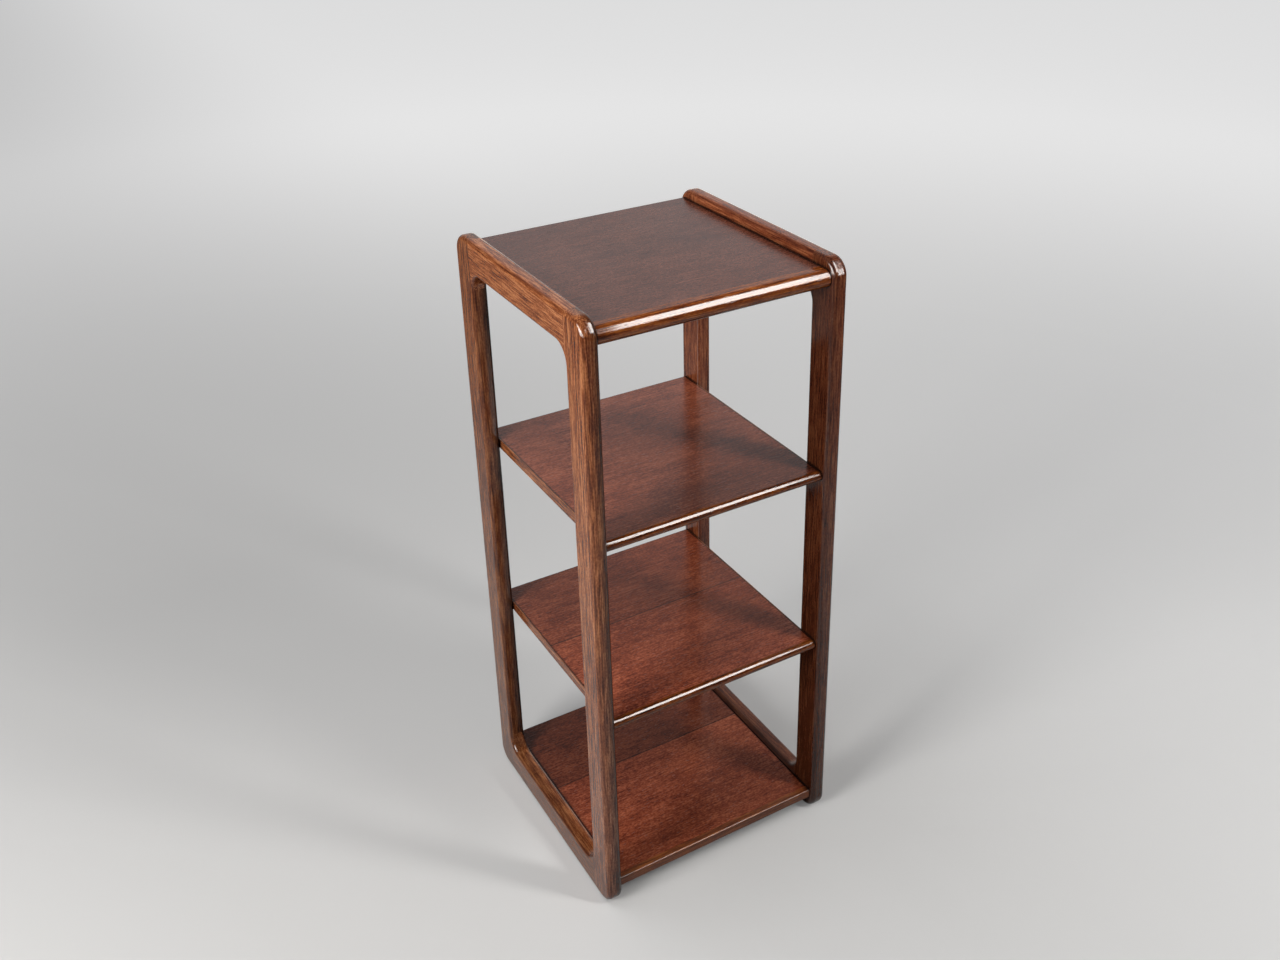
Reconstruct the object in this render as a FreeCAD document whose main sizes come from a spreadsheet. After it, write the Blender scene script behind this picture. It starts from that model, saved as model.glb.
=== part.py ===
import FreeCAD, Part
import os
from collections import namedtuple

import Sketcher

# Open shelving unit: two closed side frames carry a top panel, two middle shelves and a bottom shelf.
# Millimetres. +Z is up, -Y is the front, and the origin is on the floor at the middle of the unit.

SIZES = (
    # overall
    ("unit_width", 375.0),
    ("unit_depth", 370.0),
    ("unit_height", 900.0),
    # side frames
    ("frame_thickness", 23.0),
    ("stile_width", 46.0),
    ("top_rail_height", 46.0),
    ("bottom_rail_height", 44.5),
    ("outer_corner_radius", 25.0),
    ("inner_corner_radius", 25.0),
    ("outer_edge_radius", 7.0),
    ("inner_edge_radius", 5.0),
    # panels: a sink is how far an upper face lies below the top of the rail beside it
    ("top_panel_sink", 14.0),
    ("bottom_shelf_sink", 6.0),
    ("top_panel_thickness", 24.0),
    ("shelf_thickness", 14.5),
    ("top_panel_setback", 5.0),
    ("shelf_setback", 7.0),
    ("back_setback", 11.0),
    # solid wood along the front edges: a flat is the level strip behind a half-round
    ("nosing_flat", 10.0),
    ("lipping_flat", 2.0),
    ("lipping_end_radius", 1.0),
    ("bottom_lipping_depth", 10.0),
    ("bottom_lipping_radius", 2.0),
    # veneer and edge bands: a seam is where two leaves of veneer meet, measured from the middle
    ("veneer_thickness", 0.6),
    ("band_thickness", 1.0),
    ("lower_shelf_seam", 14.0),
    ("bottom_shelf_seam", 27.5),
    # dowels
    ("dowel_chamfer", 1.0),
    ("dowel_fit", 0.1),
    ("dowel_end_gap", 1.0),
    ("frame_dowel_diameter", 8.0),
    ("frame_dowel_length", 40.0),
    ("frame_dowel_spacing", 20.0),
    ("shelf_dowel_diameter", 6.0),
    ("shelf_dowel_length", 30.0),
    ("shelf_dowel_cover", 10.0),
    ("rail_dowel_inset", 55.0),
)

# A rounding takes at most this share of the wood that it is cut from.
ROUNDING_SHARE = "0.45"

DERIVED = (
    # planes across the width
    ("half_width", "=unit_width / 2"),
    ("inner_half", "=half_width - frame_thickness"),
    ("inner_width", "=2 * inner_half"),
    ("frame_middle", "=half_width - frame_thickness / 2"),
    # planes from front to back
    ("half_depth", "=unit_depth / 2"),
    ("stile_inner", "=half_depth - stile_width"),
    ("rail_length", "=2 * stile_inner"),
    ("back_edge", "=half_depth - back_setback"),
    ("core_back", "=back_edge - band_thickness"),
    ("nosing_seam", "=0 - half_depth + top_panel_setback + nosing_flat + top_panel_thickness / 2"),
    ("lipping_seam", "=0 - half_depth + shelf_setback + lipping_flat + shelf_thickness / 2"),
    ("bottom_seam", "=0 - half_depth + shelf_setback + bottom_lipping_depth"),
    # levels: those of the panels are their upper faces, and the three bays are equally high
    ("opening_top", "=unit_height - top_rail_height"),
    ("top_level", "=unit_height - top_panel_sink"),
    ("bottom_level", "=bottom_rail_height - bottom_shelf_sink"),
    ("bay_height", "=(top_level - top_panel_thickness - bottom_level - 2 * shelf_thickness) / 3"),
    ("lower_shelf_level", "=bottom_level + bay_height + shelf_thickness"),
    ("upper_shelf_level", "=lower_shelf_level + bay_height + shelf_thickness"),
    # roundings
    ("outer_rounding", "=min(outer_edge_radius; " + ROUNDING_SHARE + " * frame_thickness; "
     + ROUNDING_SHARE + " * 2 * outer_corner_radius)"),
    ("inner_rounding", "=min(inner_edge_radius; " + ROUNDING_SHARE + " * frame_thickness)"),
    ("bottom_lipping_rounding", "=min(bottom_lipping_radius; " + ROUNDING_SHARE + " * shelf_thickness)"),
    # dowels
    ("shelf_dowel_depth", "=frame_thickness - shelf_dowel_cover - dowel_end_gap"),
    ("shelf_dowel_middle", "=inner_half + shelf_dowel_depth - shelf_dowel_length / 2"),
)

# Where the dowels of a panel stand, from front to back: in the rails, or one in each stile.
IN_RAILS = ("sizes.rail_dowel_inset - sizes.stile_inner", "0", "sizes.stile_inner - sizes.rail_dowel_inset")
IN_STILES = ("(sizes.lipping_seam - sizes.stile_inner) / 2", "(sizes.core_back + sizes.stile_inner) / 2")

# A panel's level, thickness, front seam and veneer seam are names of cells in the sheet.
Panel = namedtuple("Panel", "name level thickness seam veneer_seam has_end_bands dowels_at")
TOP_PANEL = Panel("top_panel", "top_level", "top_panel_thickness", "nosing_seam", None, False, IN_RAILS)
UPPER_SHELF = Panel("upper_shelf", "upper_shelf_level", "shelf_thickness", "lipping_seam",
                    None, True, IN_STILES)
LOWER_SHELF = Panel("lower_shelf", "lower_shelf_level", "shelf_thickness", "lipping_seam",
                    "lower_shelf_seam", True, IN_STILES)
BOTTOM_SHELF = Panel("bottom_shelf", "bottom_level", "shelf_thickness", "bottom_seam",
                     "bottom_shelf_seam", False, IN_RAILS)

# Lengths that differ by less than this are the same.
TOLERANCE = 1e-6

X_AXIS = FreeCAD.Vector(1, 0, 0)
Y_AXIS = FreeCAD.Vector(0, 1, 0)
Z_AXIS = FreeCAD.Vector(0, 0, 1)

doc = FreeCAD.newDocument("shelving_unit")
sizes = doc.addObject("Spreadsheet::Sheet", "sizes")
nodes = []


def fill_sheet():
    """Write each size in its own row: its name in column A, its value in column B under that alias."""
    for row, (alias, value) in enumerate(SIZES + DERIVED, start=1):
        sizes.set("A%d" % row, alias)
        sizes.set("B%d" % row, str(value))
        sizes.setAlias("B%d" % row, alias)
    doc.recompute()


def bind(thing, expressions):
    """Tie properties of an object to expressions."""
    for prop, expression in expressions.items():
        thing.setExpression(prop, expression)


def place(thing, where):
    """Tie an object's position to three expressions, for X, Y and Z."""
    for axis, expression in zip("xyz", where):
        thing.setExpression("Placement.Base." + axis, expression)


def node(thing, label):
    """Name a finished sub-part and keep it for the hand-over."""
    thing.Label = label
    nodes.append(thing)


# Sketches

def origin_plane(body, role):
    """Find one of a body's own origin planes."""
    for feature in body.Origin.OriginFeatures:
        if feature.Role == role:
            return feature
    raise ValueError("no plane " + role)


def side_sketch(body, name):
    """Start a sketch that is seen from the side: its first axis is Y and its second is Z."""
    sketch = body.newObject("Sketcher::SketchObject", name)
    sketch.AttachmentSupport = [(origin_plane(body, "YZ_Plane"), "")]
    sketch.MapMode = "FlatFace"
    return sketch


def constrain(sketch, kind, *where):
    """Add a constraint and give its number."""
    return sketch.addConstraint(Sketcher.Constraint(kind, *where))


def named_distance(sketch, kind, where, name, alias):
    """Add a distance under a name and tie it to a cell of the sheet."""
    number = constrain(sketch, kind, *where, sizes.get(alias))
    sketch.renameConstraint(number, name)
    sketch.setExpression("Constraints." + name, "sizes." + alias)


def closed_outline(sketch, corners):
    """Draw straight lines round a list of corners, joined end to end, and give their numbers."""
    points = [FreeCAD.Vector(first, second, 0) for first, second in corners]
    base = sketch.GeometryCount
    for start, end in zip(points, points[1:] + points[:1]):
        sketch.addGeometry(Part.LineSegment(start, end), False)
    lines = list(range(base, base + len(points)))
    for line, following in zip(lines, lines[1:] + lines[:1]):
        constrain(sketch, "Coincident", line, 2, following, 1)
    return lines


def centred_rectangle(sketch, name, width, low, high):
    """Draw a rectangle centred on the vertical axis from its cells; with no low it stands on the floor."""
    half = sizes.get(width) / 2
    bottom = sizes.get(low) if low else 0.0
    top = sizes.get(high)
    corners = [(-half, bottom), (half, bottom), (half, top), (-half, top)]
    lower, right, upper, left = closed_outline(sketch, corners)
    constrain(sketch, "Vertical", left)
    constrain(sketch, "Vertical", right)
    constrain(sketch, "Horizontal", upper)
    constrain(sketch, "Symmetric", lower, 1, lower, 2, -2)
    named_distance(sketch, "DistanceX", (lower, 1, lower, 2), name + "_width", width)
    if low:
        named_distance(sketch, "DistanceY", (-1, 1, lower, 1), name + "_low", low)
    else:
        constrain(sketch, "PointOnObject", lower, 1, -1)
    named_distance(sketch, "DistanceY", (-1, 1, upper, 1), name + "_high", high)


def centre_on_origin(sketch, line):
    """Stand a line upright on the vertical axis, with its middle at the origin."""
    constrain(sketch, "Symmetric", line, 1, line, 2, -1)
    constrain(sketch, "PointOnObject", line, 1, -2)


# Edges and roundings

def along_x(edge):
    """Tell whether an edge runs across the unit."""
    spread = edge.BoundBox
    return spread.XLength > spread.YLength + spread.ZLength


def flat_in_x(edge):
    """Tell whether an edge keeps to one plane across the unit, as those of a frame's side faces do."""
    return edge.BoundBox.XLength < TOLERANCE


def in_opening(edge):
    """Tell whether an edge lies in or beside the opening of a side frame, and not on its outline."""
    middle = edge.CenterOfMass
    between_stiles = abs(middle.y) < sizes.get("stile_inner") + TOLERANCE
    above_rail = middle.z > sizes.get("bottom_rail_height") - TOLERANCE
    below_rail = middle.z < sizes.get("opening_top") + TOLERANCE
    return between_stiles and above_rail and below_rail


def ahead_of_seam(edge):
    """Tell whether an edge of a front lipping lies clear of the seam behind it."""
    return edge.CenterOfMass.y < -TOLERANCE


def round_edges(body, name, test, radius):
    """Round the edges of a body's last feature that pass a test; the radius is a cell."""
    doc.recompute()
    base = body.Tip
    names = ["Edge%d" % number for number, edge in enumerate(base.Shape.Edges, start=1) if test(edge)]
    fillet = body.newObject("PartDesign::Fillet", name)
    fillet.Base = (base, names)
    fillet.setExpression("Radius", "sizes." + radius)
    body.Tip = fillet


# Solids

def box(name, where, lengths):
    """Make a block from the expressions of its lowest corner and of its three lengths."""
    block = doc.addObject("Part::Box", name)
    place(block, where)
    bind(block, dict(zip(("Length", "Width", "Height"), lengths)))
    return block


def compound(name, things):
    """Keep several solids together without joining them."""
    group = doc.addObject("Part::Compound", name)
    group.Links = things
    return group


def drilled(name, base, bores):
    """Take bores out of a solid."""
    result = doc.addObject("Part::Cut", name + "_drilled")
    result.Base = base
    result.Tool = compound(name + "_bores", bores)
    return result


def round_bar(name, direction, centre, radius, length):
    """Make a round bar along x or y from the expressions of its centre, radius and length."""
    bar = doc.addObject("Part::Cylinder", name)
    turn = FreeCAD.Rotation(Z_AXIS, X_AXIS if direction == "x" else Y_AXIS)
    bar.Placement = FreeCAD.Placement(FreeCAD.Vector(), turn)
    bind(bar, {"Radius": radius, "Height": length})
    start = list(centre)
    index = "xyz".index(direction)
    start[index] = "%s - (%s) / 2" % (centre[index], length)
    place(bar, start)
    return bar


def dowel(name, kind, direction, centre):
    """Make a dowel with chamfered ends, and the looser and longer bore that it is glued into."""
    radius = "sizes.%s_dowel_diameter / 2" % kind
    length = "sizes.%s_dowel_length" % kind
    bar = round_bar(name + "_bar", direction, centre, radius, length)
    doc.recompute()
    rims = [number for number, edge in enumerate(bar.Shape.Edges, start=1) if len(edge.Vertexes) == 1]
    chamfer = sizes.get("dowel_chamfer")
    pin = doc.addObject("Part::Chamfer", name)
    pin.Base = bar
    pin.Edges = [(number, chamfer, chamfer) for number in rims]
    bore = round_bar(name + "_bore", direction, centre, radius + " + sizes.dowel_fit",
                     length + " + 2 * sizes.dowel_end_gap")
    return pin, bore


# Side frames

def frame_low_x(side):
    """Give the X of a side frame's left face."""
    return "-sizes.half_width" if side == "left" else "sizes.inner_half"


def frame_blank(side):
    """Make a side frame in one piece, rounded all round, before it is parted into its members."""
    body = doc.addObject("PartDesign::Body", side + "_frame_blank")
    outline = side_sketch(body, side + "_frame_outline")
    centred_rectangle(outline, "outer", "unit_depth", None, "unit_height")
    centred_rectangle(outline, "opening", "rail_length", "bottom_rail_height", "opening_top")
    pad = body.newObject("PartDesign::Pad", side + "_frame_pad")
    pad.Profile = outline
    pad.setExpression("Length", "sizes.frame_thickness")
    body.Tip = pad
    round_edges(body, side + "_outer_corners", lambda edge: along_x(edge) and not in_opening(edge),
                "outer_corner_radius")
    round_edges(body, side + "_inner_corners", lambda edge: along_x(edge) and in_opening(edge),
                "inner_corner_radius")
    round_edges(body, side + "_outer_arrises", lambda edge: flat_in_x(edge) and not in_opening(edge),
                "outer_rounding")
    round_edges(body, side + "_inner_arrises", lambda edge: flat_in_x(edge) and in_opening(edge),
                "inner_rounding")
    place(body, (frame_low_x(side), "0", "0"))
    return body


def frame_dowels(side):
    """Make the dowels across a frame's four joints, and give their bores by stile and rail."""
    middle_x = "-sizes.frame_middle" if side == "left" else "sizes.frame_middle"
    joints = {"front": "-sizes.stile_inner", "back": "sizes.stile_inner"}
    rail_middles = {
        "top": "sizes.unit_height - sizes.top_rail_height / 2",
        "bottom": "sizes.bottom_rail_height / 2",
    }
    shifts = {"lower": " - sizes.frame_dowel_spacing / 2", "upper": " + sizes.frame_dowel_spacing / 2"}
    pins = []
    bores = {}
    for end, joint_y in joints.items():
        for level, middle_z in rail_middles.items():
            bores[end, level] = []
            for height, shift in shifts.items():
                name = "%s_%s_%s_%s_dowel" % (side, end, level, height)
                pin, bore = dowel(name, "frame", "y", (middle_x, joint_y, middle_z + shift))
                pins.append(pin)
                bores[end, level].append(bore)
    label = side + "_frame_dowels"
    node(compound(label, pins), label)
    return bores


def member(name, blank, where, lengths, bores):
    """Take one member out of its frame's blank with a block, and drill it."""
    piece = doc.addObject("Part::Common", name + "_undrilled")
    piece.Base = blank
    piece.Tool = box(name + "_block", where, lengths)
    node(drilled(name, piece, bores), name)


def side_frame(side, panel_bores):
    """Make a frame's full-height stiles, and its rails, which hold the opening's rounded corners."""
    blank = frame_blank(side)
    bores = frame_dowels(side)
    low_x = frame_low_x(side)
    for number, (end, low_y) in enumerate((("front", "-sizes.half_depth"), ("back", "sizes.stile_inner"))):
        shelf_bores = [panel_bores[shelf.name][side][number] for shelf in (UPPER_SHELF, LOWER_SHELF)]
        member("%s_%s_stile" % (side, end), blank, (low_x, low_y, "0"),
               ("sizes.frame_thickness", "sizes.stile_width", "sizes.unit_height"),
               bores[end, "top"] + bores[end, "bottom"] + shelf_bores)
    rails = (
        ("top", "sizes.opening_top - sizes.inner_corner_radius", TOP_PANEL),
        ("bottom", "0", BOTTOM_SHELF),
    )
    for level, low_z, panel in rails:
        height = "sizes.%s_rail_height + sizes.inner_corner_radius" % level
        member("%s_%s_rail" % (side, level), blank, (low_x, "-sizes.stile_inner", low_z),
               ("sizes.frame_thickness", "sizes.rail_length", height),
               bores["front", level] + bores["back", level] + panel_bores[panel.name][side])


# Panels

def panel_dowels(panel):
    """Make the dowels from a panel's ends into both side frames, and give their bores by side."""
    middle_z = "sizes.%s - sizes.%s / 2" % (panel.level, panel.thickness)
    pins = []
    bores = {}
    for side, sign in (("left", "-"), ("right", "")):
        bores[side] = []
        for number, y in enumerate(panel.dowels_at, start=1):
            centre = (sign + "sizes.shelf_dowel_middle", y, middle_z)
            pin, bore = dowel("%s_%s_dowel_%d" % (panel.name, side, number), "shelf", "x", centre)
            pins.append(pin)
            bores[side].append(bore)
    label = panel.name + "_dowels"
    node(compound(label, pins), label)
    return bores


def lipping_body(panel, label):
    """Start the body of a front edge: its own origin is at the seam, half way up the panel."""
    body = doc.addObject("PartDesign::Body", label)
    place(body, ("-sizes.inner_half", "sizes." + panel.seam,
                 "sizes.%s - sizes.%s / 2" % (panel.level, panel.thickness)))
    return body


def pad_to_width(body, sketch):
    """Run a front edge's section from one side frame to the other."""
    pad = body.newObject("PartDesign::Pad", body.Name + "_pad")
    pad.Profile = sketch
    pad.setExpression("Length", "sizes.inner_width")
    body.Tip = pad


def round_lipping(panel, label, flat):
    """Make a half-round front edge with a level strip behind the round, and eased ends."""
    body = lipping_body(panel, label)
    sketch = side_sketch(body, label + "_section")
    half = sizes.get(panel.thickness) / 2
    strip = sizes.get(flat)
    back_top = FreeCAD.Vector(0, half, 0)
    back_bottom = FreeCAD.Vector(0, -half, 0)
    arc_top = FreeCAD.Vector(-strip, half, 0)
    arc_front = FreeCAD.Vector(-strip - half, 0, 0)
    arc_bottom = FreeCAD.Vector(-strip, -half, 0)
    upper = sketch.addGeometry(Part.LineSegment(back_top, arc_top), False)
    nose = sketch.addGeometry(Part.Arc(arc_top, arc_front, arc_bottom), False)
    lower = sketch.addGeometry(Part.LineSegment(arc_bottom, back_bottom), False)
    back = sketch.addGeometry(Part.LineSegment(back_bottom, back_top), False)
    nose_top = 1 if sketch.Geometry[nose].StartPoint.y > 0 else 2
    nose_bottom = 3 - nose_top
    constrain(sketch, "Tangent", upper, 2, nose, nose_top)
    constrain(sketch, "Tangent", nose, nose_bottom, lower, 1)
    constrain(sketch, "Coincident", lower, 2, back, 1)
    constrain(sketch, "Coincident", back, 2, upper, 1)
    constrain(sketch, "Horizontal", upper)
    constrain(sketch, "Horizontal", lower)
    centre_on_origin(sketch, back)
    named_distance(sketch, "DistanceX", (upper, 2, upper, 1), "flat", flat)
    named_distance(sketch, "DistanceY", (back, 1, back, 2), "thickness", panel.thickness)
    pad_to_width(body, sketch)
    round_edges(body, label + "_eased_ends", lambda edge: flat_in_x(edge) and ahead_of_seam(edge),
                "lipping_end_radius")
    node(body, label)


def square_lipping(panel, label, depth, rounding):
    """Make a flat front edge with both arrises eased."""
    body = lipping_body(panel, label)
    sketch = side_sketch(body, label + "_section")
    half = sizes.get(panel.thickness) / 2
    deep = sizes.get(depth)
    corners = [(0, -half), (0, half), (-deep, half), (-deep, -half)]
    back, upper, front, lower = closed_outline(sketch, corners)
    constrain(sketch, "Horizontal", upper)
    constrain(sketch, "Horizontal", lower)
    constrain(sketch, "Vertical", front)
    centre_on_origin(sketch, back)
    named_distance(sketch, "DistanceX", (upper, 2, upper, 1), "depth", depth)
    named_distance(sketch, "DistanceY", (back, 1, back, 2), "thickness", panel.thickness)
    pad_to_width(body, sketch)
    round_edges(body, label + "_eased_arrises", lambda edge: along_x(edge) and ahead_of_seam(edge), rounding)
    node(body, label)


def veneer(label, where, lengths, seam):
    """Make a face veneer of one leaf, or of two leaves that meet at a seam along X."""
    if seam is None:
        node(box(label + "_leaf", where, lengths), label)
        return
    length, depth, thickness = lengths
    low_x, low_y, low_z = where
    front_leaf = box(label + "_front_leaf", where, (length, "sizes.%s - %s" % (seam, low_y), thickness))
    back_leaf = box(label + "_back_leaf", (low_x, "sizes." + seam, low_z),
                    (length, "%s + %s - sizes.%s" % (low_y, depth, seam), thickness))
    node(compound(label + "_leaves", [front_leaf, back_leaf]), label)


def panel_behind_lipping(panel, bores):
    """Make a panel's core, its two veneers and its edge bands, behind the front edge."""
    level = "sizes." + panel.level
    thickness = "sizes." + panel.thickness
    seam = "sizes." + panel.seam
    end_band = "sizes.band_thickness" if panel.has_end_bands else "0"
    low_z = "%s - %s" % (level, thickness)
    core_x = "-sizes.inner_half + " + end_band
    core_length = "sizes.inner_width - 2 * " + end_band
    core_depth = "sizes.core_back - " + seam

    core = box(panel.name + "_blank", (core_x, seam, low_z + " + sizes.veneer_thickness"),
               (core_length, core_depth, thickness + " - 2 * sizes.veneer_thickness"))
    label = panel.name + "_core"
    node(drilled(label, core, bores["left"] + bores["right"]), label)

    leaf = (core_length, core_depth, "sizes.veneer_thickness")
    top_low_z = level + " - sizes.veneer_thickness"
    veneer(panel.name + "_top_veneer", (core_x, seam, top_low_z), leaf, panel.veneer_seam)
    veneer(panel.name + "_under_veneer", (core_x, seam, low_z), leaf, None)

    back_strip = box(panel.name + "_back_strip", ("-sizes.inner_half", "sizes.core_back", low_z),
                     ("sizes.inner_width", "sizes.band_thickness", thickness))
    node(back_strip, panel.name + "_back_band")
    if panel.has_end_bands:
        right_strip_x = "sizes.inner_half - sizes.band_thickness"
        for side, strip_x in (("left", "-sizes.inner_half"), ("right", right_strip_x)):
            label = "%s_%s_end_band" % (panel.name, side)
            strip = box(label + "_strip", (strip_x, seam, low_z),
                        ("sizes.band_thickness", core_depth, thickness))
            node(drilled(label, strip, bores[side]), label)


def check_and_write():
    """Check that nothing failed, then write each sub-part to its own file."""
    doc.recompute()
    failed = [thing.Name for thing in doc.Objects if "Invalid" in thing.State or "Error" in thing.State]
    if failed:
        raise RuntimeError("failed objects: " + ", ".join(failed))
    for thing in nodes:
        if thing.Shape.isNull() or not thing.Shape.isValid() or not thing.Shape.Solids:
            raise RuntimeError("bad shape: " + thing.Label)
    os.makedirs("parts", exist_ok=True)
    for thing in nodes:
        thing.Shape.exportStep("parts/%s.step" % thing.Label)
        print("%-32s solids %2d  volume %10.1f" % (thing.Label, len(thing.Shape.Solids), thing.Shape.Volume))


def build():
    """Build the whole unit."""
    fill_sheet()
    panels = (TOP_PANEL, UPPER_SHELF, LOWER_SHELF, BOTTOM_SHELF)
    bores = {panel.name: panel_dowels(panel) for panel in panels}
    for side in ("left", "right"):
        side_frame(side, bores)
    round_lipping(TOP_PANEL, "top_panel_nosing", "nosing_flat")
    round_lipping(UPPER_SHELF, "upper_shelf_lipping", "lipping_flat")
    round_lipping(LOWER_SHELF, "lower_shelf_lipping", "lipping_flat")
    square_lipping(BOTTOM_SHELF, "bottom_shelf_lipping", "bottom_lipping_depth", "bottom_lipping_rounding")
    for panel in panels:
        panel_behind_lipping(panel, bores[panel.name])
    check_and_write()


build()
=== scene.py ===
import math

import bpy
from mathutils import Matrix, Vector


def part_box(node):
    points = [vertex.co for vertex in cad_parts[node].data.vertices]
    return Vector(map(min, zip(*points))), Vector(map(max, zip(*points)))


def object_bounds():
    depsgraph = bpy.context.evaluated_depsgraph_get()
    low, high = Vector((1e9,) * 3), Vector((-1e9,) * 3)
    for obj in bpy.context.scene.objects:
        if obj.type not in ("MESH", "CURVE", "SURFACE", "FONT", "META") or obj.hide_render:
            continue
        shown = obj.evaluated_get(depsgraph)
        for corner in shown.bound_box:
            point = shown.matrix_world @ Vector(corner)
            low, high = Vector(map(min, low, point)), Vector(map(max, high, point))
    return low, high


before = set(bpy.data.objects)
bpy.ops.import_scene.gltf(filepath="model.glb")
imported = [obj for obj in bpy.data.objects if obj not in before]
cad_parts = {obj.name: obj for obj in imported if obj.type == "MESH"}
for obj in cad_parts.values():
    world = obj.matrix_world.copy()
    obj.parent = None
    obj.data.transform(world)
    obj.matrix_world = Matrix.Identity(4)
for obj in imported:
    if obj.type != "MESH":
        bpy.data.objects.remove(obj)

cad_low, cad_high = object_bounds()
unit_height = cad_high.z - cad_low.z

# Photograph: its frame in pixels and the point that the lens looks straight at
photo_width = 1280
photo_height = 960
lens_axis_x = 665.4
lens_axis_y = 373.9

# Camera, in metres and degrees
camera_place = Vector((-0.7655, -1.3693, 1.4704))
camera_turn = -30.07
camera_look_down = 25.75
camera_roll = -1.09
camera_sensor = 36.0
camera_lens = 36.29


class Nodes:
    """A node tree, with a short call for each kind of node that it uses."""

    def __init__(self, tree):
        self.tree = tree
        self.tree.nodes.clear()

    def add(self, kind, **settings):
        node = self.tree.nodes.new(kind)
        for setting, value in settings.items():
            setattr(node, setting, value)
        return node

    def feed(self, socket, value):
        """Joins a node's output to the socket, or sets a plain value on it."""
        if isinstance(value, bpy.types.NodeSocket):
            self.tree.links.new(value, socket)
        elif socket.type == "RGBA":
            socket.default_value = (*value, 1.0)
        else:
            socket.default_value = value

    def place(self):
        """Where the point is, in metres. Every piece's own axes are the unit's axes."""
        return self.add("ShaderNodeTexCoord").outputs["Object"]

    def ray(self, kind):
        """1 for rays of this kind (Camera, Transmission, Glossy or Diffuse), and 0 for the others."""
        return self.add("ShaderNodeLightPath").outputs[f"Is {kind} Ray"]

    def seen(self):
        """1 for what the camera sees, also through something clear."""
        return self.calculate("MAXIMUM", self.ray("Camera"), self.ray("Transmission"))

    def calculate(self, operation, *values):
        node = self.add("ShaderNodeMath", operation=operation)
        for socket, value in zip(node.inputs, values):
            self.feed(socket, value)
        return node.outputs["Value"]

    def times(self, first, second):
        return self.calculate("MULTIPLY", first, second)

    def vector(self, operation, *values):
        node = self.add("ShaderNodeVectorMath", operation=operation)
        for socket, value in zip(node.inputs, values):
            self.feed(socket, value)
        return node.outputs["Value" if operation == "LENGTH" else "Vector"]

    def separate(self, vector):
        node = self.add("ShaderNodeSeparateXYZ")
        self.feed(node.inputs["Vector"], vector)
        return [node.outputs[axis] for axis in "XYZ"]

    def combine(self, x, y, z):
        node = self.add("ShaderNodeCombineXYZ")
        for axis, value in zip("XYZ", (x, y, z)):
            self.feed(node.inputs[axis], value)
        return node.outputs["Vector"]

    def noise(self, vector, scale=1.0, detail=2.0, roughness=0.5):
        node = self.add("ShaderNodeTexNoise")
        self.feed(node.inputs["Vector"], vector)
        self.feed(node.inputs["Scale"], scale)
        self.feed(node.inputs["Detail"], detail)
        self.feed(node.inputs["Roughness"], roughness)
        return node.outputs["Fac"]

    def line_noise(self, value, detail=3.0, roughness=0.6):
        """Noise along one number, for bands of uneven width."""
        node = self.add("ShaderNodeTexNoise", noise_dimensions="1D")
        self.feed(node.inputs["W"], value)
        self.feed(node.inputs["Scale"], 1.0)
        self.feed(node.inputs["Detail"], detail)
        self.feed(node.inputs["Roughness"], roughness)
        return node.outputs["Fac"]

    def cells(self, vector):
        node = self.add("ShaderNodeTexVoronoi")
        self.feed(node.inputs["Vector"], vector)
        self.feed(node.inputs["Scale"], 1.0)
        return node

    def span(self, value, low, high, to_low=0.0, to_high=1.0):
        """Stretches the value's range from low..high to another, with both ends held."""
        node = self.add("ShaderNodeMapRange", clamp=True, interpolation_type="SMOOTHSTEP")
        self.feed(node.inputs["Value"], value)
        self.feed(node.inputs["From Min"], low)
        self.feed(node.inputs["From Max"], high)
        self.feed(node.inputs["To Min"], to_low)
        self.feed(node.inputs["To Max"], to_high)
        return node.outputs["Result"]

    def crisp(self, noise, spread):
        """Stretches a noise so that it swings from 0 to 1 within the spread about its middle."""
        return self.span(noise, 0.5 - spread, 0.5 + spread)

    def weigh(self, middle, *layers):
        """The middle, plus each layer's swing about its own middle times its weight."""
        total = middle
        for layer, weight in layers:
            swing = self.calculate("SUBTRACT", layer, 0.5)
            total = self.calculate("MULTIPLY_ADD", swing, weight, total)
        return total

    def ramp(self, value, stops, colours):
        """Goes through the colours, each at its own stop of the value."""
        node = self.add("ShaderNodeValToRGB")
        self.feed(node.inputs["Fac"], value)
        band = node.color_ramp.elements
        while len(band) < len(colours):
            band.new(1.0)
        for element, stop, colour in zip(band, stops, colours):
            element.position = stop
            element.color = (*colour, 1.0)
        return node.outputs["Color"]

    def mix(self, factor, first, second, blend="MIX"):
        node = self.add("ShaderNodeMix", data_type="RGBA", blend_type=blend)
        colours = [socket for socket in node.inputs if socket.type == "RGBA"]
        self.feed(node.inputs["Factor"], factor)
        self.feed(colours[0], first)
        self.feed(colours[1], second)
        return next(socket for socket in node.outputs if socket.type == "RGBA")

    def lighten(self, colour, level):
        """The colour times a level, which lightens it above 1 and darkens it below."""
        return self.mix(1.0, colour, self.combine(level, level, level), "MULTIPLY")

    def bump(self, height, depth, normal=None):
        """Relief of the given depth in metres where the height goes from 0 to 1."""
        node = self.add("ShaderNodeBump")
        self.feed(node.inputs["Height"], height)
        self.feed(node.inputs["Distance"], depth)
        if normal:
            self.feed(node.inputs["Normal"], normal)
        return node.outputs["Normal"]


class Finish(Nodes):
    """One material with a single shader, whose inputs are fed by name."""

    def __init__(self, name):
        self.material = bpy.data.materials.new(name)
        self.material.use_nodes = True
        super().__init__(self.material.node_tree)
        self.surface = self.add("ShaderNodeBsdfPrincipled")
        output = self.add("ShaderNodeOutputMaterial")
        self.feed(output.inputs["Surface"], self.surface.outputs["BSDF"])

    def set(self, name, value):
        self.feed(self.surface.inputs[name], value)

    def linked(self, name):
        """The node output that feeds one of the shader's inputs."""
        return self.surface.inputs[name].links[0].from_socket


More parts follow.
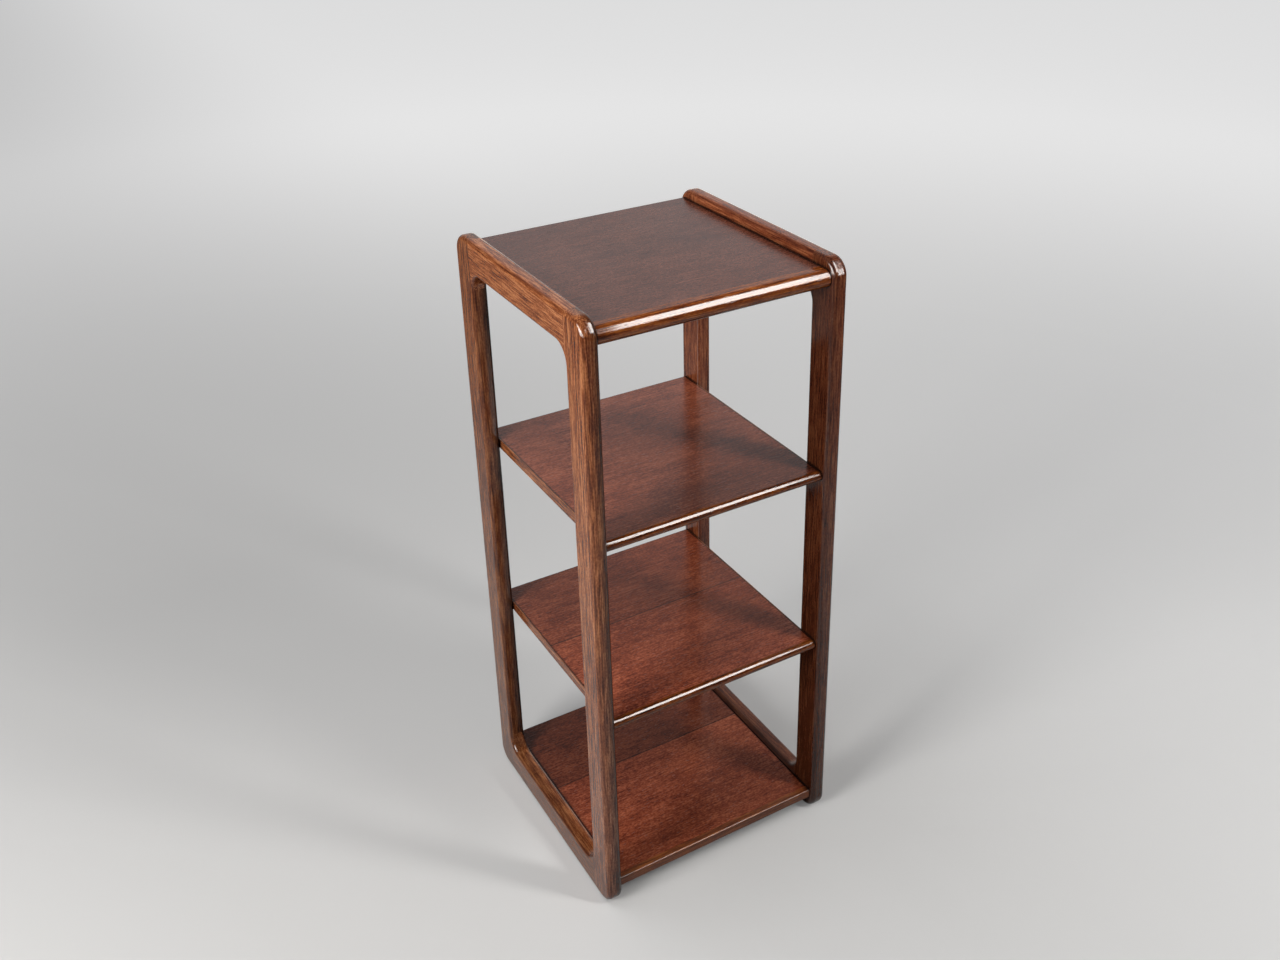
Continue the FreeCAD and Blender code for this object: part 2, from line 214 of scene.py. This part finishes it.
# Wood tones: dark, middle and light, as linear colours, and where the three stand in the pattern
left_tone = ((0.060, 0.014, 0.006), (0.205, 0.060, 0.020), (0.420, 0.165, 0.064))
right_tone = ((0.060, 0.012, 0.006), (0.200, 0.049, 0.018), (0.380, 0.130, 0.054))
nosing_tone = ((0.050, 0.010, 0.003), (0.185, 0.042, 0.008), (0.350, 0.105, 0.020))
top_tone = ((0.052, 0.014, 0.009), (0.100, 0.030, 0.018), (0.170, 0.058, 0.036))
shelf_tone = ((0.085, 0.018, 0.010), (0.222, 0.056, 0.028), (0.390, 0.124, 0.066))
low_shelf_tone = ((0.080, 0.015, 0.007), (0.212, 0.046, 0.020), (0.375, 0.108, 0.052))
under_tone = ((0.045, 0.013, 0.007), (0.090, 0.030, 0.016), (0.140, 0.052, 0.030))
dowel_tone = ((0.330, 0.205, 0.115), (0.470, 0.320, 0.190), (0.600, 0.430, 0.270))
tone_stops = (0.10, 0.50, 0.92)

# How strongly each layer of the grain swings the tone, and how dark its pores are
board_grain = {"blotch": 0.45, "ring": 0.40, "figure": 0.30, "mottle": 0.22,
               "streak": 0.34, "fibre": 0.50, "speckle": 0.22, "pore": 0.42}
rail_grain = board_grain | {"streak": 0.26, "pore": 0.27}
veneer_grain = {"blotch": 0.45, "ring": 0.14, "figure": 0.30, "mottle": 0.60,
                "streak": 0.18, "fibre": 0.25, "speckle": 0.42, "pore": 0.36}
plain_grain = {"blotch": 0.10, "ring": 0.15, "figure": 0.25, "mottle": 0.10,
               "streak": 0.12, "fibre": 0.12, "speckle": 0.05, "pore": 0.20}

# Layers that are drawn out along the grain: cells in a metre across it and along it, their detail, and
# for a crisp layer the spread within which it swings from dark to light
drawn_layers = {
    "figure": {"cells": (17.0, 2.6), "detail": 3.0},
    "mottle": {"cells": (60.0, 26.0), "detail": 3.0, "roughness": 0.6},
    "streak": {"cells": (360.0, 14.0), "spread": 0.24},
    "fibre": {"cells": (640.0, 34.0), "spread": 0.22},
    "speckle": {"cells": (520.0, 260.0), "spread": 0.22},
}

# Blotches, and the smudges that hands leave, are as wide as they are long
blotch_cells = 11.0
smudge_cells = 9.0

# Growth rings: cells of their bands in a metre, and how far in metres the pith wanders and the rings waver
ring_cells = 210.0
wander_cells = (7.0, 1.6)
wander_reach = 0.05
waver_cells = (26.0, 11.0)
waver_reach = 0.014

# Open pores: where the noise makes one, and how crowded they are from ring to ring
pore_cells = (600.0, 90.0)
pore_span = (0.40, 0.28)
pore_crowd_span = (0.35, 0.62, 0.35, 1.0)
pore_shade = 0.55

# Round edges: how flat the surface is where their painted shade starts and where it is full, and its patches
edge_span = (0.98, 0.75)
edge_patch_span = (0.3, 0.7, 0.5, 1.0)

# Corners between pieces, where shade is painted: how near another piece is, and how open the surface is
# where the painted shade starts and where it is full
crease_reach = 0.006
crease_samples = 8
crease_span = (0.92, 0.55)
crease_shade = 0.9
# Near-black of the painted shade in corners and along the panels' ends, and of the dark seams between veneer
# leaves
joint_and_shade_colour = (0.010, 0.004, 0.003)

# Lacquer: its own roughness, and how much the fibres, the smudges of hands and the pores add to it
lacquer_ior = 1.45
lacquer_roughness = 0.16
fibre_roughness = 0.03
smudge_roughness = 0.14
pore_roughness = 0.10

# Relief of the grain in metres, and the share of it that the fibres have
grain_depth = 0.00006
fibre_relief = 0.25

# Where a board is cut: its axes across and then along each grain, how far each number of the seed moves
# it through the wood and through the rings, and where the pith lies beside it
grain_order = {"X": "YZX", "Y": "XZY", "Z": "XYZ"}
seed_steps = (0.37, 0.61, 1.93)
ring_seed_step = 7.7
board_pith = (0.09, 0.06)

# How deep the painted shade usually is on round edges, and the tint of the painted pale sheen towards a foot
board_edge_shade = 0.30
foot_sheen_tint = (0.94, 1.01, 1.36)


class Board(Finish):
    """A board's material, with the patterns of the wood at the place where the board was cut."""

    def __init__(self, name, grain, seed, pith, kin):
        super().__init__(name)
        here = self.place()

        # The point's X, Y and Z in the unit, and its place in the wood that the board is cut from
        self.parts = dict(zip("XYZ", self.separate(here)))
        moved = tuple(step * seed for step in seed_steps)
        turned = self.combine(*(self.parts[axis] for axis in grain_order[grain]))
        self.cut_place = self.vector("ADD", turned, moved)

        centre = (pith[0] + moved[0], pith[1] + moved[1])
        blotch_place = self.vector("ADD", here, (kin or seed, 0.0, 0.0))
        self.patterns = {
            "blotch": self.noise(blotch_place, blotch_cells, detail=3.0),
            "ring": self.growth_rings(centre, seed),
        }
        for layer, settings in drawn_layers.items():
            self.patterns[layer] = self.drawn_noise(**settings)
        self.pores = self.open_pores()
        self.smudge = self.noise(self.cut_place, smudge_cells, detail=3.0)
        self.edge = self.round_edge()

    def drawn_noise(self, cells, detail=1.0, roughness=0.5, spread=None):
        """Noise that is drawn out along the grain. With a spread it is crisp."""
        across, along = cells
        place = self.vector("MULTIPLY", self.cut_place, (across, across, along))
        noise = self.noise(place, detail=detail, roughness=roughness)
        return self.crisp(noise, spread) if spread else noise

    def growth_rings(self, centre, seed):
        """Rings about a pith beside the board. The pith wanders along the grain and the rings waver."""
        across_1, across_2, _ = self.separate(self.cut_place)
        side_1 = self.calculate("SUBTRACT", across_1, centre[0])
        side_2 = self.calculate("SUBTRACT", across_2, centre[1])
        radius = self.vector("LENGTH", self.combine(side_1, side_2, 0.0))
        wander = self.drawn_noise(wander_cells, detail=2.0)
        radius = self.calculate("MULTIPLY_ADD", wander, wander_reach, radius)
        waver = self.drawn_noise(waver_cells, detail=2.0)
        radius = self.calculate("MULTIPLY_ADD", waver, waver_reach, radius)
        return self.line_noise(self.calculate("MULTIPLY_ADD", radius, ring_cells, ring_seed_step * seed))

    def open_pores(self):
        """Dashes along the grain, thicker in some rings than in others."""
        dash = self.span(self.drawn_noise(pore_cells), *pore_span)
        return self.times(dash, self.span(self.patterns["ring"], *pore_crowd_span))

    def round_edge(self):
        """Above 0 where the surface turns from one side of the piece to the next, in patches."""
        facing = self.vector("ABSOLUTE", self.add("ShaderNodeNewGeometry").outputs["Normal"])
        face_x, face_y, face_z = self.separate(facing)
        flatness = self.calculate("MAXIMUM", self.calculate("MAXIMUM", face_x, face_y), face_z)
        return self.times(self.span(flatness, *edge_span), self.span(self.smudge, *edge_patch_span))

    def stained_and_edge_shaded(self, tone, layers, edge_shade):
        """The tone as the patterns swing it, darker in the pores, with painted shade on the round edges."""
        dark = tone[0]
        value = self.weigh(0.5, *((pattern, layers[layer]) for layer, pattern in self.patterns.items()))
        colour = self.ramp(value, tone_stops, tone)
        pore_colour = tuple(pore_shade * part for part in dark)
        colour = self.mix(self.times(self.pores, layers["pore"]), colour, pore_colour)
        return self.mix(self.times(self.edge, edge_shade), colour, dark)

    def lit_and_shaded(self, colour, fades, foot_sheen_height):
        """The colour, lighter or darker from place to place as its tone and as painted light and shade, with
        a painted pale sheen towards the foot.
        """
        for axis, *levels in fades:
            colour = self.lighten(colour, self.span(self.parts[axis], *levels))
        if foot_sheen_height:
            colour = self.mix(self.span(self.parts["Z"], foot_sheen_height, 0.0), colour, foot_sheen_tint, "MULTIPLY")
        return colour

    def crease_shaded(self, colour):
        """The colour, with painted shade in the corners where pieces meet."""
        corner = self.add("ShaderNodeAmbientOcclusion", samples=crease_samples)
        self.feed(corner.inputs["Distance"], crease_reach)
        crease = self.span(corner.outputs["AO"], *crease_span)
        return self.mix(self.times(crease, crease_shade), colour, joint_and_shade_colour)

    def lacquer(self, roughness, edge_wear):
        """A little rougher along the fibres, in the pores and where hands have rubbed it."""
        layers = ((self.patterns["fibre"], fibre_roughness), (self.smudge, smudge_roughness))
        rough = self.weigh(roughness, *layers)
        rough = self.calculate("MULTIPLY_ADD", self.edge, edge_wear, rough)
        self.set("Roughness", self.calculate("MULTIPLY_ADD", self.pores, pore_roughness, rough))
        self.set("IOR", lacquer_ior)

    def crown(self, low, high, depth):
        """A gentle rise along X between two places, highest half-way and level at both ends."""
        slope = 2 * math.pi / (high - low)
        shift = -math.pi * (high + low) / (high - low)
        turn = self.calculate("MULTIPLY_ADD", self.parts["X"], slope, shift)
        return self.bump(self.calculate("MULTIPLY_ADD", self.calculate("COSINE", turn), 0.5, 0.5), depth)

    def relief(self, depth, crowned):
        """Fibres stand up a little and pores lie deep, on top of the crown if there is one."""
        fibres = self.times(self.patterns["fibre"], fibre_relief)
        height = self.calculate("MULTIPLY_ADD", self.pores, -1.0, fibres)
        self.set("Normal", self.bump(height, depth, self.crown(*crowned) if crowned else None))


def wood(name, grain, seed, tone, layers=board_grain, pith=board_pith, kin=None, fades=(), foot_sheen_height=None,
         edge_shade=board_edge_shade, edge_wear=0.0, roughness=lacquer_roughness, relief_depth=grain_depth,
         crowned=None):
    """Lacquered wood. Boards of one kin share their blotches, so that their joints stay quiet.

    Each fade (axis, low, high, first, last) lightens or darkens the piece from one place to another, partly
    as the board's own tone and partly as painted light and shade. A board with a foot sheen height has a
    painted pale sheen towards its foot. A crowned board (low, high, depth) swells a little between two
    places along X.
    """
    board = Board(name, grain, seed, pith, kin)
    colour = board.stained_and_edge_shaded(tone, layers, edge_shade)
    colour = board.lit_and_shaded(colour, fades, foot_sheen_height)
    board.set("Base Color", board.crease_shaded(colour))
    board.lacquer(roughness, edge_wear)
    board.relief(relief_depth, crowned)
    return board


# Chipboard: cells of its chips in a metre, the tones of the chips, and the glue between them
chip_cells = (240.0, 240.0, 620.0)
chip_tone = ((0.30, 0.19, 0.10), (0.47, 0.32, 0.18), (0.62, 0.46, 0.28))
chip_stops = (0.0, 0.5, 1.0)
chip_roughness = (0.72, 0.88)
chip_depth = 0.0003
glue_colour = (0.13, 0.08, 0.04)
glue_span = (0.45, 0.75)
glue_share = 0.6


def core_board():
    """Raw chipboard: pale chips of many tones, pressed flat, with dark glue between them."""
    finish = Finish("raw_core_board")
    chips = finish.cells(finish.vector("MULTIPLY", finish.place(), chip_cells))
    tone = finish.separate(chips.outputs["Color"])[0]
    colour = finish.ramp(tone, chip_stops, chip_tone)
    glue = finish.times(finish.span(chips.outputs["Distance"], *glue_span), glue_share)
    finish.set("Base Color", finish.mix(glue, colour, glue_colour))
    finish.set("Roughness", finish.span(tone, 0.0, 1.0, *chip_roughness))
    finish.set("Normal", finish.bump(chips.outputs["Distance"], chip_depth))
    return finish.material


def shade(tone, factor):
    return tuple(tuple(factor * part for part in colour) for colour in tone)


def paint(node, material):
    """Puts the material in all the slots of the CAD node."""
    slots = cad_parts[node].data.materials
    if not slots:
        slots.append(material)
    for index in range(len(slots)):
        slots[index] = material


# Seeds of the woods. Where there are several of a kind, they count up from the first.
first_frame_seed = 1
first_top_seed = 20
first_under_seed = 30
first_back_seed = 40
first_front_seed = 50
first_end_seed = 60
panel_dowel_seed = 71
frame_dowel_seed = 72

# How light each frame piece is, its board's tone mixed with painted light and shade: at its lower or front
# end, at its upper or back end, on its inner side against its outer side, and on its right face against the
# wood beside it
frame_tone_and_shading = {
    "left_top_rail": (1.25, 1.22, 1.0, 0.8),
    "left_front_stile": (0.96, 1.18, 0.36, 2.1),
    "left_back_stile": (0.68, 0.90, 0.30, 2.5),
    "left_bottom_rail": (0.62, 0.64, 1.6, 0.7),
    "right_top_rail": (0.84, 1.08, 0.92, 1.0),
    "right_front_stile": (0.39, 0.70, 0.62, 1.5),
    "right_back_stile": (0.48, 0.88, 1.0, 1.4),
    "right_bottom_rail": (0.64, 0.70, 0.40, 1.1),
}

# Where the inner side's painted level ends and the outer side's begins, as shares of a frame piece's width
# from its inner face, and the kin of each frame's boards
left_inner_side = (0.16, 0.68)
right_inner_side = (0.10, 0.60)
left_kin = 3.0
right_kin = 5.0

# How far from a frame piece's right face its own level starts and is full, and the dark foot of a stile
right_face_start = 0.0012
right_face_full = 0.0002
foot_height = 0.11
foot_level = 0.68

# Swell of a frame piece between its two faces, and of the stile at the right front corner
crown_depth = 0.00035
corner_crown_depth = 2.3 * crown_depth

# The frames' lacquer and painted edge shade, and the pieces with a painted pale sheen at the foot, a rubbed
# edge or a dull face
frame_finish = {"roughness": 0.13, "edge_shade": 0.55}
foot_sheen_share = 0.6
special_finish = {
    "left_front_stile": {"foot_sheen_height": foot_sheen_share * unit_height},
    "right_front_stile": {"edge_wear": 0.16},
    "right_bottom_rail": {"roughness": 0.38},
}


def frame_side(node, low, high, inner):
    """The tone and the kin of the piece's frame, and the fade of painted light and shade between the piece's
    inner and outer side.
    """
    width = high.x - low.x
    if node.startswith("left"):
        inner_end, outer_start = left_inner_side
        fade = ("X", high.x - outer_start * width, high.x - inner_end * width, 1.0, inner)
        return left_tone, left_kin, fade
    inner_end, outer_start = right_inner_side
    fade = ("X", low.x + inner_end * width, low.x + outer_start * width, inner, 1.0)
    return right_tone, right_kin, fade


def dress_frames():
    """Stiles run up the grain and rails along it, each cut from its own board."""
    for seed, (node, levels) in enumerate(frame_tone_and_shading.items(), start=first_frame_seed):
        first, last, inner, right_face = levels
        low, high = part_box(node)
        # The levels along the piece, across it and on its right face are painted light and shade over the
        # board's tone
        tone, kin, across = frame_side(node, low, high, inner)
        face = ("X", high.x - right_face_start, high.x - right_face_full, 1.0, right_face)
        if node.endswith("stile"):
            grain, layers = "Z", board_grain
            foot = ("Z", low.z, low.z + foot_height, foot_level, 1.0)
            fades = (("Z", low.z, high.z, first, last), across, face, foot)
        else:
            grain, layers = "Y", rail_grain
            fades = (("Y", low.y, high.y, first, last), across, face)
        crowned = (low.x, high.x, crown_depth)
        if node == "right_front_stile":
            # This one is highest at its inner face and falls all the way to its outer face
            crowned = (low.x - (high.x - low.x), high.x, corner_crown_depth)
        settings = frame_finish | special_finish.get(node, {})
        board = wood(f"{node}_wood", grain, seed, tone, layers, kin=kin, fades=fades, crowned=crowned,
                     **settings)
        paint(node, board.material)


# The panels, each with the tone of its upper face
panel_tones = {
    "top_panel": top_tone,
    "upper_shelf": shelf_tone,
    "lower_shelf": low_shelf_tone,
    "bottom_shelf": low_shelf_tone,
}

# Painted light and shade on a shelf's face: how light it is between two depths behind the unit's front, at
# the first and at the second
shelf_painted_light = {
    "upper_shelf": (0.015, 0.115, 0.60, 0.92),
    "lower_shelf": (0.025, 0.165, 1.14, 0.88),
}

# Where two leaves of veneer meet on a shelf, and how light the front leaf and the back leaf are
leaf_seams = {
    "lower_shelf": (0.014, 1.12, 0.92),
    "bottom_shelf": (0.0275, 0.96, 0.54),
}

# The leaves' tints part within this distance of the seam, and the line between them fades over the span
leaf_parting = 0.0008
seam_line_span = (0.0018, 0.0006)
seam_stain = 0.75

# Painted shade along both ends of a face, where it meets the side frames, measured from them
frame_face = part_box("right_front_stile")[0].x
end_line_start = 0.004
end_line_full = 0.001
end_shade = 0.95

# Veneers: the pith that each was peeled about, their lacquer, and the flatter relief of the upper faces
face_pith = (0.02, 0.30)
face_roughness = 0.24
face_depth = 0.25 * grain_depth
under_pith = (0.05, 0.50)
under_roughness = 0.30

# Edges of the panels: their tones, and the lacquer of the nosing and the lippings
back_tone = shade(under_tone, 0.7)
lipping_tone = shade(nosing_tone, 0.75)
front_roughness = 0.11
bottom_front_roughness = 0.32

# Dowels have no lacquer, so they are dull
dowel_roughness = 0.6


def join_leaves(panel, finish):
    """Tints the two leaves of a veneered face apart, draws the thin dark line at the seam, and paints shade
    along the ends.
    """
    colour = finish.linked("Base Color")
    x, y, _ = finish.separate(finish.place())
    if panel in leaf_seams:
        seam, front_level, back_level = leaf_seams[panel]
        level = finish.span(y, seam - leaf_parting, seam + leaf_parting, front_level, back_level)
        colour = finish.lighten(colour, level)
        off_seam = finish.calculate("ABSOLUTE", finish.calculate("SUBTRACT", y, seam))
        line = finish.span(off_seam, *seam_line_span)
        colour = finish.mix(finish.times(line, seam_stain), colour, joint_and_shade_colour)
    # Painted shade along both ends of the face, next to the side frames
    off_middle = finish.calculate("ABSOLUTE", x)
    end = finish.span(off_middle, frame_face - end_line_start, frame_face - end_line_full)
    finish.set("Base Color", finish.mix(finish.times(end, end_shade), colour, joint_and_shade_colour))


def dress_faces(panel, number):
    """The veneers above and below the panel's core."""
    fades = ()
    # A middle shelf gets painted light and shade from its front to its back
    if panel in shelf_painted_light:
        start, end, first, last = shelf_painted_light[panel]
        fades = (("Y", cad_low.y + start, cad_low.y + end, first, last),)
    top = wood(f"{panel}_top_wood", "X", first_top_seed + number, panel_tones[panel], veneer_grain,
               pith=face_pith, fades=fades, roughness=face_roughness, relief_depth=face_depth)
    join_leaves(panel, top)
    paint(f"{panel}_top_veneer", top.material)
    under = wood(f"{panel}_under_wood", "X", first_under_seed + number, under_tone, veneer_grain,
                 pith=under_pith, roughness=under_roughness)
    paint(f"{panel}_under_veneer", under.material)


def dress_long_edges(panel, number):
    """The band along the panel's back, and the nosing or lipping along its front."""
    back = wood(f"{panel}_back_wood", "X", first_back_seed + number, back_tone)
    paint(f"{panel}_back_band", back.material)
    node, tone = f"{panel}_lipping", lipping_tone
    if panel == "top_panel":
        node, tone = "top_panel_nosing", nosing_tone
    roughness = bottom_front_roughness if panel == "bottom_shelf" else front_roughness
    front = wood(f"{node}_wood", "X", first_front_seed + number, tone, roughness=roughness)
    paint(node, front.material)


def dress_end_bands():
    """The bands that close both ends of the two middle shelves."""
    for seed, shelf in enumerate(("upper_shelf", "lower_shelf"), start=first_end_seed):
        for side in ("left", "right"):
            band = wood(f"{shelf}_{side}_end_wood", "Y", seed, left_tone)
            paint(f"{shelf}_{side}_end_band", band.material)


def dress_panels():
    """Veneered faces run from side to side, and so do the nosing, the lippings and the back bands."""
    raw = core_board()
    for number, panel in enumerate(panel_tones):
        paint(f"{panel}_core", raw)
        dress_faces(panel, number)
        dress_long_edges(panel, number)
    dress_end_bands()


def dress_dowels():
    """Raw beech dowels, which run across the unit in the panels and along its depth in the frames."""
    across = wood("panel_dowel_wood", "X", panel_dowel_seed, dowel_tone, plain_grain,
                  roughness=dowel_roughness)
    deep = wood("frame_dowel_wood", "Y", frame_dowel_seed, dowel_tone, plain_grain,
                roughness=dowel_roughness)
    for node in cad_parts:
        if node.endswith("_frame_dowels"):
            paint(node, deep.material)
        elif node.endswith("_dowels"):
            paint(node, across.material)


# Floor: its reach in metres, its colours as they are seen near and far, and the duller colour of the
# light that it throws on the unit
floor_reach = 16.0
floor_near_colour = (0.55, 0.55, 0.55)
floor_far_colour = (0.90, 0.90, 0.90)
floor_dull_colour = (0.22, 0.22, 0.22)
floor_roughness = 0.85
floor_far_glow = 0.42
floor_right_glow = 0.20

# Spans of the floor: how far away it is, how far to the right, where the lacquer mirrors it pale, and
# where it would be too bright under the lamp on the left
floor_far_span = (0.6, 4.5)
floor_right_span = (-0.9, 1.2)
floor_mirror_span = (0.7, 2.0, 1.0, 0.2)
floor_lamp_span = (-2.0, -1.0, 0.55, 1.0)


def floor_finish():
    """Matt and pale, with a little glow where the lamps don't reach, and clear when seen from below."""
    finish = Finish("pale_floor")
    place = finish.place()
    distance = finish.vector("LENGTH", place)
    away = finish.span(distance, *floor_far_span)
    x = finish.separate(place)[0]
    seen = finish.seen()
    mirrored = finish.times(finish.ray("Glossy"), finish.span(distance, *floor_mirror_span))
    pale = finish.mix(away, floor_near_colour, floor_far_colour)
    pale = finish.lighten(pale, finish.span(x, *floor_lamp_span))
    shown = finish.calculate("MAXIMUM", seen, mirrored)
    finish.set("Base Color", finish.mix(shown, floor_dull_colour, pale))
    finish.set("Roughness", floor_roughness)
    finish.set("Specular IOR Level", 0.0)
    finish.set("Emission Color", (1.0, 1.0, 1.0))
    glow = finish.times(finish.span(x, *floor_right_span), floor_right_glow)
    glow = finish.calculate("MULTIPLY_ADD", away, floor_far_glow, glow)
    finish.set("Emission Strength", finish.times(glow, seen))
    underneath = finish.add("ShaderNodeNewGeometry").outputs["Backfacing"]
    finish.set("Alpha", finish.calculate("SUBTRACT", 1.0, underneath))
    return finish.material


def make_floor():
    """A plain floor that reaches past the picture on every side."""
    mesh = bpy.data.meshes.new("floor")
    sides = ((-1, -1), (1, -1), (1, 1), (-1, 1))
    corners = [(x * floor_reach, y * floor_reach, 0.0) for x, y in sides]
    mesh.from_pydata(corners, [], [(0, 1, 2, 3)])
    mesh.materials.append(floor_finish())
    floor = bpy.data.objects.new("floor", mesh)
    bpy.context.scene.collection.objects.link(floor)


# Room: what the camera sees, what the lacquer mirrors behind the unit, and what lights the unit
background_colour = (0.70, 0.70, 0.70)
backdrop_colour = (0.64, 0.64, 0.65)
dim_room_colour = (0.07, 0.07, 0.073)
right_wall_colour = (0.18, 0.18, 0.18)

# Where the backdrop stands and where the right wall stands, as spans of a direction's X, Y and Z
backdrop_x_span = (-0.3, 0.0)
backdrop_y_span = (-0.1, 0.4)
backdrop_z_span = (0.72, 0.50)
right_wall_x_span = (0.1, 0.7)


def make_world():
    """A dim room, with a grey wall on the right that lights the unit. The camera sees it pale all over.

    The lacquer mirrors a pale backdrop, which stands behind the unit.
    """
    world = bpy.data.worlds.new("pale_room")
    world.use_nodes = True
    nodes = Nodes(world.node_tree)
    x, y, z = nodes.separate(nodes.add("ShaderNodeTexCoord").outputs["Generated"])
    behind = nodes.times(nodes.span(y, *backdrop_y_span), nodes.span(x, *backdrop_x_span))
    backdrop = nodes.times(behind, nodes.span(z, *backdrop_z_span))
    mirrored = nodes.times(backdrop, nodes.ray("Glossy"))
    wall = nodes.times(nodes.span(x, *right_wall_x_span), nodes.ray("Diffuse"))
    room = nodes.mix(mirrored, dim_room_colour, backdrop_colour)
    room = nodes.mix(wall, room, right_wall_colour)
    background = nodes.add("ShaderNodeBackground")
    nodes.feed(background.inputs["Color"], nodes.mix(nodes.seen(), room, background_colour))
    nodes.feed(nodes.add("ShaderNodeOutputWorld").inputs["Surface"], background.outputs["Background"])
    bpy.context.scene.world = world


# Lamps: their colours, and the height that they aim at as a share of the unit's height
white = (1.0, 1.0, 1.0)
warm_white = (1.0, 0.98, 0.95)
wall_tint = (1.0, 0.86, 0.72)
aim_share = 0.6
upward = Vector((0.0, 0.0, 1.0))
backward = Vector((0.0, 1.0, 0.0))


def direction(turn, rise):
    """The direction at so many degrees from the front towards the right, and so many above the level."""
    turn, rise = math.radians(turn), math.radians(rise)
    return Vector((math.sin(turn) * math.cos(rise), -math.cos(turn) * math.cos(rise), math.sin(rise)))


def make_lamp(name, place, normal, along, length, width, radiance, colour=warm_white, diffuse=True,
              glossy=True):
    """A soft box of the given radiance. It shines along the normal, and its length lies along a line."""
    light = bpy.data.lights.new(name, "AREA")
    light.shape = "RECTANGLE"
    light.size = width
    light.size_y = length
    light.energy = radiance * math.pi * width * length
    light.color = colour
    lamp = bpy.data.objects.new(name, light)
    back = -normal.normalized()
    side = along.cross(back).normalized()
    turned = Matrix((side, back.cross(side), back)).transposed().to_4x4()
    lamp.matrix_world = Matrix.Translation(place) @ turned
    lamp.visible_camera = False
    lamp.visible_diffuse = diffuse
    lamp.visible_glossy = glossy
    bpy.context.scene.collection.objects.link(lamp)


def stand_lamp(name, target, turn, rise, distance, along=upward, **settings):
    """A lamp that stands off the target in a direction, and shines at it."""
    outward = direction(turn, rise)
    make_lamp(name, target + distance * outward, -outward, along, **settings)


def light_unit():
    """The main light stands to the left, a weaker one to the right of the front, and one overhead."""
    middle = Vector((0.0, 0.0, aim_share * unit_height))
    stand_lamp("left_soft_box", middle, turn=-76.0, rise=20.0, distance=2.2,
               length=1.0, width=0.8, radiance=17.0)
    stand_lamp("right_soft_box", middle, turn=34.0, rise=39.0, distance=2.2,
               length=1.2, width=0.26, radiance=23.5, glossy=False)
    stand_lamp("overhead_soft_box", middle, turn=-125.0, rise=68.0, distance=2.9, along=backward,
               length=1.8, width=1.8, radiance=3.6, colour=white, glossy=False)


# The arc of lamps over the front edge of the top, in metres and degrees: its radius, how high its lowest
# panel starts, how many degrees each panel takes, how many they are, and where they start and end in X
arc_reach = 1.2
arc_low = 20.0
arc_step = 11.6
arc_count = 5
arc_start = 0.42
arc_end = 1.006


def arc_lamp(name, rise, x, length, width, radiance):
    """A lamp that only the lacquer mirrors, on an arc about the axis of the nosing's rounding."""
    nosing_low, nosing_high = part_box("top_panel_nosing")
    radius = (nosing_high.z - nosing_low.z) / 2
    centre = Vector((x, nosing_low.y + radius, nosing_low.z + radius))
    outward = direction(0.0, rise)
    tangent = direction(0.0, rise + 90.0)
    make_lamp(name, centre + arc_reach * outward, -outward, tangent, length, width, radiance,
              diffuse=False)


def light_lacquer():
    """What the lacquer mirrors: the arc, a spot beside its foot, a lit wall and a window on the left."""
    arc_length = 2 * arc_reach * math.tan(math.radians(arc_step) / 2)
    arc_middle = (arc_start + arc_end) / 2
    for number in range(arc_count):
        rise = arc_low + (number + 0.5) * arc_step
        arc_lamp(f"right_arc_{number + 1}", rise, arc_middle, arc_length, arc_end - arc_start, radiance=24.0)
    arc_lamp("right_spot", rise=17.0, x=1.25, length=0.85, width=0.15, radiance=26.0)
    left_corner = Vector((cad_low.x, cad_low.y, cad_high.z))
    stand_lamp("back_wall_glow", left_corner, turn=146.0, rise=-6.0, distance=3.0,
               length=0.6, width=1.6, radiance=1.3, colour=wall_tint, diffuse=False)
    window_reach = 1.5
    window_start = left_corner + window_reach * direction(turn=-108.0, rise=28.0)
    window_end = left_corner + window_reach * direction(turn=-36.0, rise=6.0)
    window = (window_start + window_end) / 2
    make_lamp("left_window", window, left_corner - window, window_end - window_start,
              length=1.75, width=0.30, radiance=22.0, diffuse=False)


def make_camera():
    """The photograph's view."""
    camera = bpy.data.objects.new("camera", bpy.data.cameras.new("camera"))
    turn = Matrix.Rotation(math.radians(camera_turn), 4, "Z")
    tip = Matrix.Rotation(math.radians(90.0 - camera_look_down), 4, "X")
    roll = Matrix.Rotation(math.radians(camera_roll), 4, "Z")
    camera.matrix_world = Matrix.Translation(camera_place) @ turn @ tip @ roll
    camera.data.sensor_width = camera_sensor
    camera.data.lens = camera_lens
    camera.data.shift_x = (photo_width / 2 - lens_axis_x) / photo_width
    camera.data.shift_y = (lens_axis_y - photo_height / 2) / photo_width
    bpy.context.scene.collection.objects.link(camera)
    bpy.context.scene.camera = camera


dress_frames()
dress_panels()
dress_dowels()
make_floor()
make_world()
light_unit()
light_lacquer()
make_camera()
bpy.context.scene.view_settings.view_transform = "Standard"
